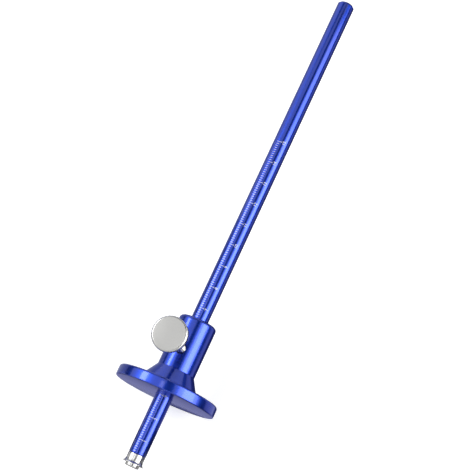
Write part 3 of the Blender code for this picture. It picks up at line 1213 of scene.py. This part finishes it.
def add_lamps_and_cards(studio):
    """Lamps, and glowing cards that only reflections see as painted reflections and shade, round the beam,
    on the floor and upright beside it.
    """
    for name, angle, spread, start, end, brightness in LAMPS:
        add_lamp(name, studio, angle, spread, start, end, brightness)
    for name, angle, spread, start, end, colour in ROUND_CARDS:
        place = place_round_beam(studio, angle, (start + end) / 2)
        add_card(name, place, end - start, width_of(studio, spread), colour)
    for name, start, end, right, left, colour in LOW_CARDS:
        place = Matrix.Translation(((start + end) / 2, (right + left) / 2, studio.card_height))
        add_card(name, place, end - start, left - right, colour)
    upright = Matrix.Rotation(math.pi / 2, 4, "X")
    for name, start, end, side, foot, top, colour in UPRIGHT_CARDS:
        place = Matrix.Translation(((start + end) / 2, side, (foot + top) / 2))
        add_card(name, place @ upright, end - start, top - foot, colour)


def add_surroundings(studio):
    """A dim even light on the gauge, which reflections and the camera see as white."""
    world = bpy.data.worlds.new("studio")
    world.use_nodes = True
    bpy.context.scene.world = world
    tree = world.node_tree
    background = tree.nodes["Background"]
    background.inputs["Color"].default_value = (1, 1, 1, 1)
    strength = range_node(tree, background_rays(tree), 0, 1, studio.world_light, 1.0)
    tree.links.new(strength, background.inputs["Strength"])


def add_camera(studio):
    """The camera, placed by its direction and distance from the point that it looks at."""
    azimuth = math.radians(studio.azimuth)
    elevation = math.radians(studio.elevation)
    level = math.cos(elevation)
    back = Vector((math.sin(azimuth) * level, -math.cos(azimuth) * level, math.sin(elevation)))
    data = bpy.data.cameras.new("camera")
    data.sensor_width = FILM_WIDTH
    data.lens = studio.lens
    data.clip_start = NEAREST_SEEN
    data.clip_end = FARTHEST_SEEN
    camera = bpy.data.objects.new("camera", data)
    bpy.context.scene.collection.objects.link(camera)
    camera.rotation_mode = "QUATERNION"
    camera.location = Vector(studio.aim) + back * studio.distance
    roll = Quaternion((0, 0, 1), math.radians(studio.roll))
    camera.rotation_quaternion = (-back).to_track_quat("-Z", "Y") @ roll
    bpy.context.scene.camera = camera


class GAUGE_OT_studio(bpy.types.Operator):
    """Sets up the floor, the lamps, the surroundings and the camera"""

    bl_idname = "gauge.studio"
    bl_label = "Studio"

    def execute(self, context):
        studio = context.scene.gauge_studio
        add_floor(studio)
        add_lamps_and_cards(studio)
        add_surroundings(studio)
        add_camera(studio)
        context.scene.view_settings.view_transform = "Standard"
        return {"FINISHED"}


class GAUGE_PT_panel(bpy.types.Panel):
    """Lists the steps that build and dress the gauge"""

    bl_idname = "GAUGE_PT_panel"
    bl_label = "Marking gauge"
    bl_space_type = "VIEW_3D"
    bl_region_type = "UI"
    bl_category = "Gauge"

    def draw(self, context):
        for operator in OPERATORS:
            self.layout.operator(operator.bl_idname)
        for group in SETTINGS:
            box = self.layout.box()
            values = getattr(context.scene, group)
            for name in values.bl_rna.properties.keys():
                if name not in ("rna_type", "name"):
                    box.prop(values, name)


SETTINGS = {
    "gauge_beam": GaugeBeamSizes,
    "gauge_scale": GaugeScaleSizes,
    "gauge_fence": GaugeFenceSizes,
    "gauge_thumb_screw": GaugeThumbScrewSizes,
    "gauge_pad": GaugePadSizes,
    "gauge_cutter": GaugeCutterSizes,
    "gauge_cutter_screw": GaugeCutterScrewSizes,
    "gauge_finishes": GaugeFinishes,
    "gauge_studio": GaugeStudio,
}

OPERATORS = (
    GAUGE_OT_studio,
    GAUGE_OT_beam,
    GAUGE_OT_scale_marks,
    GAUGE_OT_scale_numbers,
    GAUGE_OT_fence,
    GAUGE_OT_friction_ring,
    GAUGE_OT_thumb_screw,
    GAUGE_OT_pressure_pad,
    GAUGE_OT_wheel_cutter,
    GAUGE_OT_cutter_screw,
)


def register():
    for group in SETTINGS.values():
        bpy.utils.register_class(group)
    for operator in OPERATORS:
        bpy.utils.register_class(operator)
    bpy.utils.register_class(GAUGE_PT_panel)
    for name, group in SETTINGS.items():
        setattr(bpy.types.Scene, name, PointerProperty(type=group))


def unregister():
    for name in SETTINGS:
        delattr(bpy.types.Scene, name)
    bpy.utils.unregister_class(GAUGE_PT_panel)
    for operator in reversed(OPERATORS):
        bpy.utils.unregister_class(operator)
    for group in reversed(list(SETTINGS.values())):
        bpy.utils.unregister_class(group)


def main():
    register()
    for operator in OPERATORS:
        module, name = operator.bl_idname.split(".")
        getattr(getattr(bpy.ops, module), name)()


if __name__ == "__main__":
    main()
